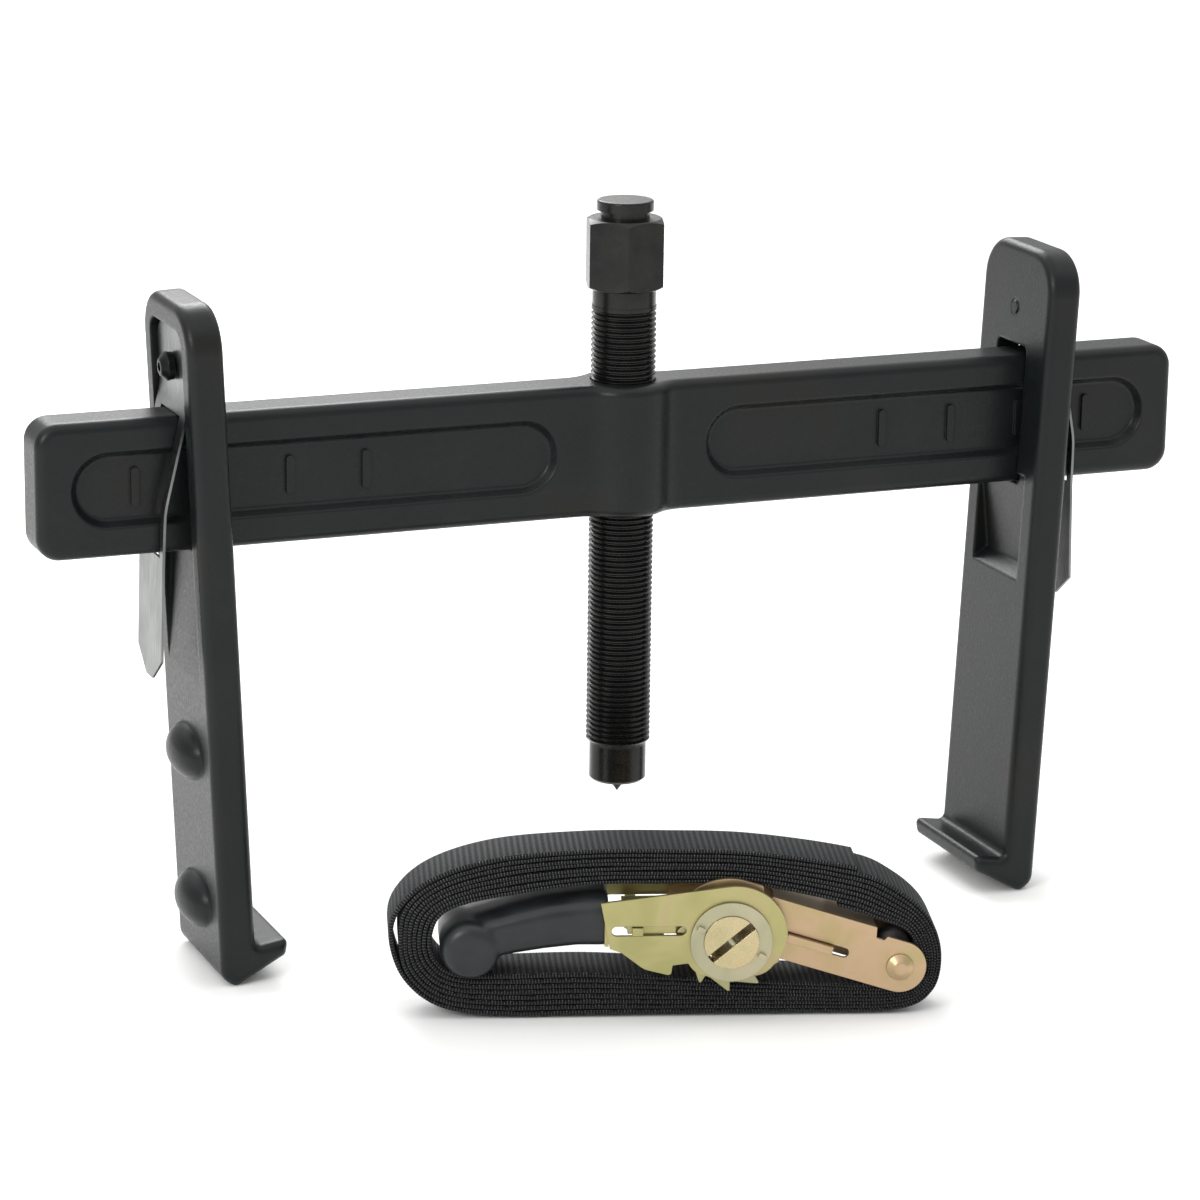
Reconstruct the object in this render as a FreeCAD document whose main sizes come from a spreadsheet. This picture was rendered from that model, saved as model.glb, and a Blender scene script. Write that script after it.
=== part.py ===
"""Two-jaw brake drum puller with its ratchet strap.

A forged cross bar carries a forcing screw in its boss and two sliding hook jaws.  Each jaw has
a spring plate that bites the bar and is pressed to let the jaw slide.  The strap that holds the
jaws on the drum stands beside the puller, wound round its ratchet buckle.
+X runs along the cross bar, +Y to the rear, +Z up; the floor is z = 0.  Millimetres.
"""
import FreeCAD
import Part
import Sketcher
import math
import os
import re
from FreeCAD import Placement, Rotation, Vector

SIZES = {
    # cross bar
    "bar_length": 474.6, "bar_height": 52.3, "bar_thick": 22, "bar_corner": 9, "bar_round": 4,
    "bar_rear": 59.1, "boss_wall": 6.3, "boss_blend": 14, "bore_play": 0.2,
    "recess_near": 45.5, "recess_end": 27.5, "recess_half": 14.6, "recess_depth": 3.6,
    "rib_half": 1.6, "rib_reach": 6, "rib_rise": 1.4,
    # forcing screw
    "thread_radius": 12.7, "thread_pitch": 25.4 / 12, "thread_depth": 1.2, "thread_top": -6.5,
    "thread_length": 176, "nose_play": 1.45, "nose_length": 15.8, "neck_play": 0.3,
    "hex_flats": 28.6, "hex_height": 27.5, "cap_radius": 11, "cap_height": 4, "cap_neck": 3,
    "head_rise": 61.95, "hex_turn": 13.2, "point_radius": 4, "point_length": 5.6,
    "point_shank": 14, "point_play": 0.05,
    # jaws, sizes from the centre of the cross bar
    "jaw_spread": 175, "jaw_lean": 2.6, "jaw_thick": 14, "jaw_width": 60, "jaw_top": 69.4,
    "jaw_drop": 194.85, "jaw_crown": 17, "jaw_round": 3.5, "hook_reach": 13.2, "hook_seat": 15,
    "hook_lip": 1.4, "hook_edge": 5, "heel_rise": 4, "window_side": 1.6, "window_over": 3.2,
    "window_under": 0.9, "channel_depth": 4.2, "channel_over": 2,
    "channel_end": 75, "hollow_half": 19.5, "hollow_depth": 6.5, "hollow_end": 65,
    "bump_first": 107, "bump_second": 166.5, "bump_rise": 8, "bump_sink": 3, "bump_tall": 11.5,
    "bump_wide": 18,
    # spring plates
    "plate_thick": 1, "plate_wing": 7.5, "plate_round": 7.5, "plate_gap": 0.6, "plate_top": 58,
    "plate_bend": 35, "plate_knee": 8, "plate_end": 75, "plate_swing": 11.6, "plate_tail": 4.8,
    "plate_tip": 9, "plate_slot_over": 0.7, "plate_slot_under": 0.3, "tab_wing": 3.5,
    # plate screws
    "bolt_level": 43.6, "bolt_radius": 3, "bolt_play": 0.4, "bolt_head": 5.5, "bolt_head_rise": 3.6,
    "socket_half": 1.7, "washer_radius": 5.3, "washer_thick": 1.4, "washer_gap": 0.6,
    "washer_split": 1.2,
    # strap: place and turn of the coil on the floor
    "strap_x": -22.2, "strap_y": -45, "strap_turn": -17.9, "web_width": 25, "web_stack": 17,
    "coil_left": -104.8, "coil_right": 104.8, "coil_height": 66,
    # ratchet, in the coil's own frame
    "hub_x": 23, "hub_z": 32.4, "hub_radius": 10.3, "hub_slot": 3.3, "hub_reach": 3.6,
    "hub_play": 0.35, "hub_tilt": 40, "sheet_thick": 1.5, "web_play": 0.7, "wheel_play": 0.3,
    "wheel_thick": 2.4, "wheel_root": 16.8, "wheel_tip": 20.3, "wheel_teeth": 11,
    "cheek_play": 0.4, "ring_outer": 15.4, "ring_thick": 1.2, "ring_gap": 0.3, "tab_rise": 1.6,
    "pin_radius": 1.2, "rivet_x": 87.4, "rivet_z": 19.8, "rivet_radius": 3, "rivet_dome": 5.2,
    "rivet_rise": 2.6, "sleeve_radius": 4.6, "base_end": 10, "base_arc": 22.6, "cheek_arc": 21.2,
    "pawl_thick": 3, "pawl_length": 18, "pawl_travel": 4, "pawl_waist": 12.4, "pawl_play": 0.4,
    "knob_x": -74.2, "knob_z": 28.4, "knob_radius": 11.3,
    "loop_thick": 2.1,
    # base frame, from its end rivet; handle parts, from the spindle
    "base_turn": 17.5, "base_rise": 12.3, "hub_along": -65.2, "hub_drop": -7.35,
    "lock_level": -0.8, "lock_nose": -45, "seat_back": 15.5, "drive_level": 4.2,
    "drive_nose": 20.7, "spring_radius": 2, "spring_wire": 0.4, "spring_turns": 4,
    "wheel_turn": 8,
}

# sizes that follow from others
FOLLOWS = {
    "bar_level": "jaw_drop - 0.796", "boss_radius": "thread_radius + boss_wall",
    "neck_radius": "thread_radius - neck_play", "nose_radius": "thread_radius - nose_play",
    "head_level": "bar_level + head_rise", "recess_far": "bar_length / 2 - recess_end",
    "rib_first": "bar_length * 0.2283", "rib_step": "bar_length * 0.0638",
    "plate_slot_half": "bar_thick / 2 + 1", "plate_half": "plate_slot_half + plate_wing",
    "tab_half": "plate_slot_half + tab_wing", "channel_half": "plate_half + 0.8",
    "channel_top": "plate_top + channel_over",
    "base_inner": "web_width / 2 + web_play", "base_outer": "base_inner + sheet_thick",
    "wheel_inner": "base_outer + wheel_play", "cheek_inner": "wheel_inner + wheel_thick + cheek_play",
    "hub_half": "cheek_inner + hub_reach", "pin_level": "hub_half - 1.8",
    "grip_half": "cheek_inner - 0.6", "knob_half": "cheek_inner + 1.7",
}

doc = FreeCAD.newDocument("drum_puller")
sheet = doc.addObject("Spreadsheet::Sheet", "sizes")
for row, (alias, amount) in enumerate(SIZES.items(), start=1):
    sheet.set(f"A{row}", alias)
    sheet.set(f"B{row}", str(amount))
    sheet.setAlias(f"B{row}", alias)
doc.recompute()
NODES = []


# ---------------------------------------------------------------- expressions and sketches
def tied(text):
    """Write out the sizes that follow from others, and give the rest their sheet prefix."""
    def spelled(word):
        name = word[0]
        return f"({tied(FOLLOWS[name])})" if name in FOLLOWS else f"sizes.{name}"
    return re.sub(r"\b[a-z]+_\w+", spelled, str(text))


def number(text):
    """Value of an expression of the sheet's sizes."""
    return float(sheet.evalExpression(tied(text)))


def new_body(label):
    """Empty body whose label is its node name."""
    made = doc.addObject("PartDesign::Body", label)
    made.Label = label
    NODES.append(made)
    return made


def new_sketch(body, role, offset="0"):
    """Sketch on one of the body's origin planes, moved along the plane's normal by offset."""
    made = body.newObject("Sketcher::SketchObject", f"{body.Name}_sketch")
    plane = next(f for f in body.Origin.OriginFeatures if f.Role == role)
    made.AttachmentSupport = [(plane, "")]
    made.MapMode = "FlatFace"
    if offset != "0":
        made.setExpression(".AttachmentOffset.Base.z", tied(offset))
    return made


def pin_point(sketch, geometry, end, x, y):
    """Hold one sketch point at coordinates given as expressions."""
    for kind, text in (("DistanceX", x), ("DistanceY", y)):
        amount = number(text)
        if abs(amount) < 1e-9:
            axis = -2 if kind == "DistanceX" else -1
            sketch.addConstraint(Sketcher.Constraint("PointOnObject", geometry, end, axis))
            continue
        index = sketch.addConstraint(Sketcher.Constraint(kind, -1, 1, geometry, end, amount))
        sketch.setExpression(f"Constraints[{index}]", tied(text))


def set_radius(sketch, geometry, radius):
    index = sketch.addConstraint(Sketcher.Constraint("Radius", geometry, number(radius)))
    sketch.setExpression(f"Constraints[{index}]", tied(radius))


def arc_from(centre, start, stop):
    """Arc that runs anticlockwise about its centre from one point to the other."""
    ray = start - centre
    first, last = (math.atan2(p.y - centre.y, p.x - centre.x) for p in (start, stop))
    if last <= first:
        last += 2 * math.pi
    return Part.ArcOfCircle(Part.Circle(centre, Vector(0, 0, 1), ray.Length), first, last)


def corner_points(before, here, after, radius):
    """Where an arc of the radius leaves the two sides of a corner, and its centre."""
    back = (before - here).normalize()
    on = (after - here).normalize()
    half = back.getAngle(on) / 2
    reach = radius / math.tan(half)
    centre = here + (back + on).normalize() * (radius / math.sin(half))
    return here + back * reach, here + on * reach, centre


def outline(sketch, corners):
    """Closed outline of (x, y) or (x, y, radius) corners, each an expression."""
    spots = [Vector(number(c[0]), number(c[1]), 0) for c in corners]
    count = len(corners)
    starts, stops, arcs = {}, {}, {}
    for i, corner in enumerate(corners):
        starts[i] = stops[i] = spots[i]
        if len(corner) == 3:
            before, after = spots[i - 1], spots[(i + 1) % count]
            enter, leave, centre = corner_points(before, spots[i], after, number(corner[2]))
            stops[i], starts[i], arcs[i] = enter, leave, centre
    first = sketch.GeometryCount
    for i in range(count):
        sketch.addGeometry(Part.LineSegment(starts[i], stops[(i + 1) % count]), False)
    for i, corner in enumerate(corners):
        line_in, line_out = first + (i - 1) % count, first + i
        if i not in arcs:
            sketch.addConstraint(Sketcher.Constraint("Coincident", line_in, 2, line_out, 1))
            pin_point(sketch, line_out, 1, corner[0], corner[1])
            continue
        enter, leave = stops[i], starts[i]
        left_turn = (enter - arcs[i]).cross(leave - arcs[i]).z > 0
        ends = (1, 2) if left_turn else (2, 1)
        turn = arc_from(arcs[i], *((enter, leave) if left_turn else (leave, enter)))
        arc = sketch.addGeometry(turn, False)
        vertex = sketch.addGeometry(Part.Point(spots[i]), True)
        pin_point(sketch, vertex, 1, corner[0], corner[1])
        for line in (line_in, line_out):
            sketch.addConstraint(Sketcher.Constraint("PointOnObject", vertex, 1, line))
        sketch.addConstraint(Sketcher.Constraint("Tangent", line_in, 2, arc, ends[0]))
        sketch.addConstraint(Sketcher.Constraint("Tangent", arc, ends[1], line_out, 1))
        set_radius(sketch, arc, corner[2])
    return sketch


def circle(sketch, x, y, radius):
    """Circle with its centre and radius given as expressions."""
    centre = Vector(number(x), number(y), 0)
    index = sketch.addGeometry(Part.Circle(centre, Vector(0, 0, 1), number(radius)), False)
    pin_point(sketch, index, 3, x, y)
    set_radius(sketch, index, radius)
    return sketch


def racetrack(sketch, first, second, radius):
    """Slot outline between two centres."""
    a = Vector(number(first[0]), number(first[1]), 0)
    b = Vector(number(second[0]), number(second[1]), 0)
    size = number(radius)
    along = (b - a).normalize()
    side = Vector(-along.y, along.x, 0) * size
    cap_a, cap_b = arc_from(a, a + side, a - side), arc_from(b, b - side, b + side)
    lower = Part.LineSegment(a - side, b - side)
    upper = Part.LineSegment(b + side, a + side)
    base = sketch.GeometryCount
    for piece in (cap_a, lower, cap_b, upper):
        sketch.addGeometry(piece, False)
    for i in range(4):
        sketch.addConstraint(Sketcher.Constraint("Tangent", base + i, 2, base + (i + 1) % 4, 1))
    sketch.addConstraint(Sketcher.Constraint("Equal", base, base + 2))
    pin_point(sketch, base, 3, *first)
    pin_point(sketch, base + 2, 3, *second)
    set_radius(sketch, base, radius)
    return sketch


# ---------------------------------------------------------------- features
def feature(body, kind, sketch, **settings):
    """PartDesign feature from a sketch; text settings are expressions."""
    made = body.newObject(f"PartDesign::{kind}", f"{body.Name}_{kind.lower()}")
    if sketch is not None:
        made.Profile = sketch
    for name, setting in settings.items():
        if isinstance(setting, str) and name != "Mode":
            made.setExpression(name, tied(setting))
        else:
            setattr(made, name, setting)
    doc.recompute()
    return made


def pad(body, sketch, length, both=False, **more):
    return feature(body, "Pad", sketch, Length=length, Midplane=both, **more)


def pocket(body, sketch, length, both=False, back=False, **more):
    """Cut that must take material away."""
    before = body.Tip.Shape.Volume
    made = feature(body, "Pocket", sketch, Length=length, Midplane=both, Reversed=back, **more)
    if not made.Shape.Volume < before - 1e-6:
        raise RuntimeError(f"{made.Name} cuts nothing")
    return made


def turned(body, sketch, axis="V_Axis", kind="Revolution"):
    """Full turn of a sketch about one of its own axes."""
    return feature(body, kind, sketch, ReferenceAxis=(sketch, [axis]), Angle=360.0)


def edges_where(body, test):
    """Names of the tip's edges whose bounding box passes the test."""
    found = []
    for i, edge in enumerate(body.Tip.Shape.Edges, start=1):
        if test(edge, edge.BoundBox):
            found.append(f"Edge{i}")
    if not found:
        raise RuntimeError(f"{body.Name} has no such edge")
    return found


def soften(body, size, test, kind="Fillet"):
    """Fillet or chamfer of the edges that pass the test."""
    names = edges_where(body, test)
    base = body.Tip
    made = body.newObject(f"PartDesign::{kind}", f"{body.Name}_{kind.lower()}")
    made.Base = (base, names)
    made.setExpression("Radius" if kind == "Fillet" else "Size", tied(size))
    doc.recompute()
    return made


def near(value, target, slack=0.02):
    return abs(value - target) < slack


def flat_in(box, axis, place, slack=0.02):
    """True where an edge's box lies in the plane axis = place."""
    low, high = getattr(box, axis + "Min"), getattr(box, axis + "Max")
    return near(low, place, slack) and near(high, place, slack)


# ---------------------------------------------------------------- puller
def make_cross_bar():
    body = new_body("cross_bar")
    corners = [(f"{sx} * bar_length / 2", f"{sz} * bar_height / 2", "bar_corner")
               for sx, sz in ((-1, -1), (1, -1), (1, 1), (-1, 1))]
    pad(body, outline(new_sketch(body, "XZ_Plane"), corners), "bar_thick", both=True)
    boss = circle(new_sketch(body, "XY_Plane"), "0", "0", "boss_radius")
    pad(body, boss, "bar_height", both=True)
    half_thick, half_high = number("bar_thick / 2"), number("bar_height / 2")
    meet = math.sqrt(number("boss_radius") ** 2 - half_thick ** 2)
    soften(body, "boss_blend", lambda e, b: near(abs(b.XMin), meet, 0.1) and b.ZLength > 9
           and near(b.XMin, b.XMax) and near(abs(b.YMin), half_thick, 0.1))
    soften(body, "bar_round", lambda e, b: flat_in(b, "Z", half_high) or flat_in(b, "Z", -half_high)
           or (b.YLength < 0.02 and abs(b.YMin) > half_thick - 0.1
               and abs(b.Center.x) > number("bar_length / 2 - bar_corner") - 0.1))
    bore = circle(new_sketch(body, "XY_Plane"), "0", "0", "thread_radius + bore_play")
    pocket(body, bore, "bar_height + 2", both=True)
    for side in (-1, 1):
        sketch = new_sketch(body, "XZ_Plane", f"{side} * bar_thick / 2")
        for arm in (-1, 1):
            racetrack(sketch, (f"{arm} * recess_near", "0"), (f"{arm} * recess_far", "0"),
                      "recess_half")
        pocket(body, sketch, "recess_depth", back=side < 0, TaperAngle=-36.0)
        ribs = new_sketch(body, "XZ_Plane", f"{side} * (bar_thick / 2 - recess_depth)")
        for arm in (-1, 1):
            for i in range(4):
                across = f"{arm} * (rib_first + {i} * rib_step)"
                racetrack(ribs, (across, "-rib_reach"), (across, "rib_reach"), "rib_half")
        pad(body, ribs, "rib_rise", Reversed=side < 0)
    floor = number("bar_thick / 2 - recess_depth")
    soften(body, "recess_depth * 0.5", lambda e, b: b.YLength < 0.02 and near(abs(b.YMin), floor)
           and b.XLength > number("recess_half") - 5)
    soften(body, "recess_depth * 0.35", lambda e, b: b.YLength < 0.02
           and near(abs(b.YMin), half_thick) and b.XLength > number("recess_half") - 2
           and b.ZMax < number("recess_half") + 0.1 and b.ZMin > -number("recess_half") - 0.1
           and abs(b.Center.x) < number("recess_far + recess_half"))
    place(body, "0", "bar_rear", "bar_level")
    return body


def make_forcing_screw():
    body = new_body("forcing_screw")
    bottom = "(thread_top - thread_length)"
    nose = f"({bottom} - nose_length)"
    crest = "hex_flats * 0.578"
    face = "hex_flats * 0.485"
    slope = f"({crest} - {face}) * 0.577"
    profile = [("0", nose), ("nose_radius - 1", nose), ("nose_radius", f"{nose} + 1"),
               ("nose_radius", f"{bottom} - 1"), ("thread_radius - thread_depth", bottom),
               ("thread_radius", f"{bottom} + thread_depth"), ("thread_radius", "thread_top"),
               ("neck_radius", "thread_top"), ("neck_radius", "0"), (face, "0"),
               (crest, slope), (crest, f"hex_height - {slope}"), (face, "hex_height"),
               ("cap_radius - 1.5", "hex_height"), ("cap_radius - 1.5", "hex_height + cap_neck"),
               ("cap_radius", "hex_height + cap_neck"),
               ("cap_radius", "hex_height + cap_neck + cap_height", "0.8"),
               ("0", "hex_height + cap_neck + cap_height")]
    turned(body, outline(new_sketch(body, "XZ_Plane"), profile))
    trim = circle(new_sketch(body, "XY_Plane"), "0", "0", "hex_flats")
    outline(trim, hexagon_at("0", "0", "hex_flats / 2"))
    pocket(body, trim, "hex_height", back=True)
    socket = circle(new_sketch(body, "XY_Plane", nose), "0", "0", "point_radius + point_play")
    pocket(body, socket, "point_shank + 0.5", back=True)
    groove = new_sketch(body, "XZ_Plane")
    low = f"({bottom} + thread_pitch)"
    outline(groove, [("thread_radius + 0.2", f"{low} - thread_pitch * 0.46"),
                     ("thread_radius + 0.2", f"{low} + thread_pitch * 0.46"),
                     ("thread_radius - thread_depth", f"{low} + thread_pitch * 0.07"),
                     ("thread_radius - thread_depth", f"{low} - thread_pitch * 0.07")])
    cut = turned(body, groove, kind="Groove")
    rows = body.newObject("PartDesign::LinearPattern", "forcing_screw_thread")
    rows.Originals = [cut]
    rows.Direction = (groove, ["V_Axis"])
    rows.Mode = "Spacing"
    rows.setExpression("Offset", tied("thread_pitch"))
    rows.setExpression("Occurrences", tied("floor(thread_length / thread_pitch) - 1"))
    body.Tip = rows
    place(body, "0", "bar_rear", "head_level", Rotation(Vector(0, 0, 1), number("hex_turn")))
    return body


def make_screw_point():
    body = new_body("screw_point")
    profile = [("0", "-point_length"), ("point_radius", "0"), ("point_radius", "point_shank - 0.5"),
               ("point_radius - 0.5", "point_shank"), ("0", "point_shank")]
    turned(body, outline(new_sketch(body, "XZ_Plane"), profile))
    place(body, "0", "bar_rear", "head_level + thread_top - thread_length - nose_length")
    return body


def place_on_jaw(body):
    """Set a body modelled about the bar's centre line on the leaning right jaw."""
    lean = Rotation(Vector(0, 1, 0), number("jaw_lean"))
    place(body, "jaw_spread", "bar_rear", "bar_level", lean)


def make_jaw():
    """Right hook jaw, modelled about the centre of the bar; +x points outward."""
    body = new_body("right_jaw")
    crown = [("-jaw_width / 2", "-jaw_drop + 40"), ("jaw_width / 2", "-jaw_drop + 40"),
             ("jaw_width / 2", "jaw_top", "jaw_crown"), ("-jaw_width / 2", "jaw_top", "jaw_crown")]
    pad(body, outline(new_sketch(body, "YZ_Plane"), crown), "jaw_thick", both=True)
    foot, tip = "-jaw_drop", "(-jaw_thick / 2 - hook_reach)"
    hook = [("-jaw_thick / 2", f"{foot} + 45"), ("-jaw_thick / 2", f"{foot} + hook_seat", "2.5"),
            (tip, f"{foot} + hook_seat + hook_lip", "1.8"),
            (f"{tip} + 1.2", f"{foot} + hook_seat - hook_edge", "2.2"),
            ("1.5", foot, "4"), ("jaw_thick / 2", f"{foot} + heel_rise", "6.5"),
            ("jaw_thick / 2", f"{foot} + 45")]
    pad(body, outline(new_sketch(body, "XZ_Plane"), hook), "jaw_width", both=True)
    half, wide = number("jaw_thick / 2"), number("jaw_width / 2")
    soften(body, "jaw_round", lambda e, b: near(abs(b.YMin), wide, 0.1) and b.YLength < 0.1
           and near(b.XMin, half, 0.1) and b.XLength < 0.1 and b.ZLength > 20)
    cut_bar_window(body)
    cut_plate_channel(body)
    cut_inner_hollow(body)
    for level in ("bump_first", "bump_second"):
        add_bump(body, level)
    hole = circle(new_sketch(body, "YZ_Plane"), "0", "bolt_level", "bolt_radius + 0.05")
    pocket(body, hole, "jaw_thick + 10", both=True)
    place_on_jaw(body)


def cut_bar_window(body):
    half = "(bar_thick / 2 + window_side)"
    low, high = "(-bar_height / 2 - window_under)", "(bar_height / 2 + window_over)"
    corners = [(f"-{half}", low, "2.5"), (half, low, "2.5"), (half, high, "2.5"),
               (f"-{half}", high, "2.5")]
    pocket(body, outline(new_sketch(body, "YZ_Plane"), corners), "jaw_thick + 10", both=True)


def cut_plate_channel(body):
    """Channel of the spring plate on the outer face, fading out below the bar."""
    floor = "(jaw_thick / 2 - channel_depth)"
    corners = [("-channel_half", "-bar_height / 2"), ("channel_half", "-bar_height / 2"),
               ("channel_half", "channel_top", "7"), ("-channel_half", "channel_top", "7")]
    sketch = outline(new_sketch(body, "YZ_Plane", floor), corners)
    pocket(body, sketch, "channel_depth + 1", back=True)
    beyond = "(jaw_thick / 2 + 1)"
    fade = [(floor, "-bar_height / 2 + 0.5"), (floor, "-bar_height / 2 - 3", "20"),
            ("jaw_thick / 2", "-channel_end", "20"), (beyond, "-channel_end - 6"),
            (beyond, "-bar_height / 2 + 0.5")]
    pocket(body, outline(new_sketch(body, "XZ_Plane"), fade), "channel_half * 2", both=True)


def cut_inner_hollow(body):
    """Wedge-shaped hollow on the inner face below the bar, deepest at its lower end."""
    beyond = "(-jaw_thick / 2 - 5)"
    wedge = [(beyond, "-hollow_end"), ("-jaw_thick / 2", "-hollow_end"),
             ("-jaw_thick / 2 + hollow_depth", "-hollow_end + 5", "1.5"),
             ("-jaw_thick / 2 + 1.5", "-bar_height / 2 - 1"),
             ("-jaw_thick / 2 + 1.5", "-bar_height / 2 + 4"), (beyond, "-bar_height / 2 + 4")]
    pocket(body, outline(new_sketch(body, "XZ_Plane"), wedge), "hollow_half * 2", both=True)


def add_bump(body, level):
    """Rounded bump that keeps the strap from slipping along the jaw."""
    made = body.newObject("PartDesign::AdditiveEllipsoid", f"{body.Name}_{level}")
    made.setExpression("Radius1", tied("bump_tall"))
    made.setExpression("Radius2", tied("bump_rise + bump_sink"))
    made.setExpression("Radius3", tied("bump_wide"))
    made.setExpression(".AttachmentOffset.Base.x", tied("jaw_thick / 2 - bump_sink"))
    made.setExpression(".AttachmentOffset.Base.z", tied(f"-{level}"))
    plane = next(f for f in body.Origin.OriginFeatures if f.Role == "XY_Plane")
    made.AttachmentSupport = [(plane, "")]
    made.MapMode = "FlatFace"
    doc.recompute()


def make_spring_plate():
    """Bent plate that bites the bar; pressed toward the jaw, it lets the jaw slide."""
    body = new_body("right_spring_plate")
    root = "(jaw_thick / 2 - channel_depth + plate_gap)"
    knee = f"({root} + plate_swing)"
    tail = f"({knee} + plate_tail)"
    corners = [(root, "plate_top"), (root, "plate_bend", "30"), (knee, "-plate_knee", "45"),
               (tail, "-plate_end"), (f"{tail} + plate_thick", "-plate_end"),
               (f"{knee} + plate_thick", "-plate_knee", "45"),
               (f"{root} + plate_thick", "plate_bend", "30"),
               (f"{root} + plate_thick", "plate_top")]
    pad(body, outline(new_sketch(body, "XZ_Plane"), corners), "plate_half * 2", both=True)
    low, high = "(-bar_height / 2 - plate_slot_under)", "(bar_height / 2 + plate_slot_over)"
    slot = [("-plate_slot_half", low), ("plate_slot_half", low), ("plate_slot_half", high),
            ("-plate_slot_half", high)]
    pocket(body, outline(new_sketch(body, "YZ_Plane"), slot), "60", both=True)
    for edge in (-1, 1):
        trim = [(f"{edge} * (plate_half + 1)", "plate_bend + 1"),
                (f"{edge} * (plate_half - 0.1)", "plate_bend + 1"),
                (f"{edge} * tab_half", f"{low} - 1"),
                (f"{edge} * tab_half", "-plate_end + plate_tip"),
                (f"{edge} * 4", "-plate_end"), (f"{edge} * 4", "-plate_end - 5"),
                (f"{edge} * (plate_half + 1)", "-plate_end - 5")]
        pocket(body, outline(new_sketch(body, "YZ_Plane"), trim), "60", both=True)
    hole = circle(new_sketch(body, "YZ_Plane"), "0", "bolt_level", "bolt_radius + bolt_play")
    pocket(body, hole, "60", both=True)
    top, edge = number("plate_top"), number("plate_half")
    soften(body, "plate_round", lambda e, b: flat_in(b, "Z", top) and b.YLength < 0.02
           and near(abs(b.YMin), edge))
    place_on_jaw(body)


def hexagon_at(x, y, inradius):
    """Six corners of a hexagon with a corner on its own +x side."""
    corners = []
    for i in range(6):
        angle = math.radians(60 * i)
        corners.append((f"{x} + {inradius} * {math.cos(angle) * 2 / math.sqrt(3):.6f}",
                        f"{y} + {inradius} * {math.sin(angle) * 2 / math.sqrt(3):.6f}"))
    return corners


def make_plate_screw():
    """Button-head screw that holds the spring plate on its jaw."""
    body = new_body("right_plate_screw")
    seat = "(jaw_thick / 2 - channel_depth + plate_gap + plate_thick + washer_gap + washer_thick)"
    crown, tip = f"({seat} + bolt_head_rise)", "(-jaw_thick / 2 - 0.4)"
    profile = [(tip, "bolt_level"), (tip, "bolt_level + bolt_radius - 0.6"),
               (f"{tip} + 0.6", "bolt_level + bolt_radius"), (seat, "bolt_level + bolt_radius"),
               (seat, "bolt_level + bolt_head"), (f"{seat} + 1.2", "bolt_level + bolt_head", "0.6"),
               (crown, "bolt_level + bolt_head * 0.55", "1.8"), (crown, "bolt_level")]
    sketch = outline(new_sketch(body, "XZ_Plane"), profile)
    level = number("bolt_level")
    axis = sketch.addGeometry(Part.LineSegment(Vector(-5, level, 0), Vector(5, level, 0)), True)
    pin_point(sketch, axis, 1, "-5", "bolt_level")
    pin_point(sketch, axis, 2, "5", "bolt_level")
    turned(body, sketch, axis="Axis0")
    socket = outline(new_sketch(body, "YZ_Plane", crown), hexagon_at("0", "bolt_level", "socket_half"))
    pocket(body, socket, "2")
    place_on_jaw(body)


def make_lock_washer():
    """Split spring washer under the screw's head."""
    body = new_body("right_lock_washer")
    seat = "(jaw_thick / 2 - channel_depth + plate_gap + plate_thick + washer_gap)"
    sketch = new_sketch(body, "YZ_Plane", seat)
    circle(sketch, "0", "bolt_level", "washer_radius")
    circle(sketch, "0", "bolt_level", "bolt_radius + 0.1")
    pad(body, sketch, "washer_thick")
    low, high = "bolt_level - washer_split / 2", "bolt_level + washer_split / 2"
    split = [("0", low), ("washer_radius + 1", low), ("washer_radius + 1", high), ("0", high)]
    pocket(body, outline(new_sketch(body, "YZ_Plane"), split), "60", both=True)
    place_on_jaw(body)


def make_left_side():
    """Left jaw and what it carries, mirrored from the right."""
    for piece in ("jaw", "spring_plate", "plate_screw", "lock_washer"):
        made = doc.addObject("Part::Mirroring", f"left_{piece}")
        made.Source = doc.getObject(f"right_{piece}")
        made.Normal = Vector(1, 0, 0)
        made.Label = f"left_{piece}"
        NODES.append(made)


# ---------------------------------------------------------------- strap and ratchet
def place_in_strap(body, x="0", z="0", turn="0"):
    """Put a body at a place of the coil's own frame, turned about its cross axis."""
    stand = Rotation(Vector(0, 0, 1), number("strap_turn"))
    tilt = Rotation(Vector(0, 1, 0), number(turn))
    spot = stand.multVec(Vector(number(x), 0, 0)) + Vector(number("strap_x"), number("strap_y"), 0)
    body.Placement = Placement(spot + Vector(0, 0, number(z)), stand * tilt)


def make_strap_webbing():
    """The wound strap as one closed ring round the ratchet."""
    body = new_body("strap_webbing")
    outer = [("coil_left + 20.8", "0", "30"), ("coil_right", "0", "20"),
             ("coil_right", "coil_height * 0.5", "30"),
             ("coil_right - 16", "coil_height * 0.795", "25"),
             ("coil_right - 51", "coil_height", "70"), ("coil_left + 62", "coil_height", "90"),
             ("coil_left + 12", "coil_height * 0.835", "28"),
             ("coil_left", "coil_height * 0.6", "22"), ("coil_left", "coil_height * 0.3", "24")]
    inner = [("coil_left + web_stack + 0.5", "web_stack - 1.5", "12"),
             ("rivet_x + 7.6", "rivet_z - 7.5", "7"), ("rivet_x + 7.6", "rivet_z + 12", "12"),
             ("rivet_x - 9", "rivet_z + 22", "20"), ("hub_x + 18", "coil_height - 15.4", "30"),
             ("hub_x - 52", "coil_height - 15.4", "60"), ("coil_left + 42", "coil_height - 21", "40"),
             ("coil_left + web_stack + 0.5", "coil_height - 28", "12")]
    sketch = new_sketch(body, "XZ_Plane")
    outline(sketch, outer)
    outline(sketch, inner)
    pad(body, sketch, "web_width", both=True)
    place_in_strap(body)


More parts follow.
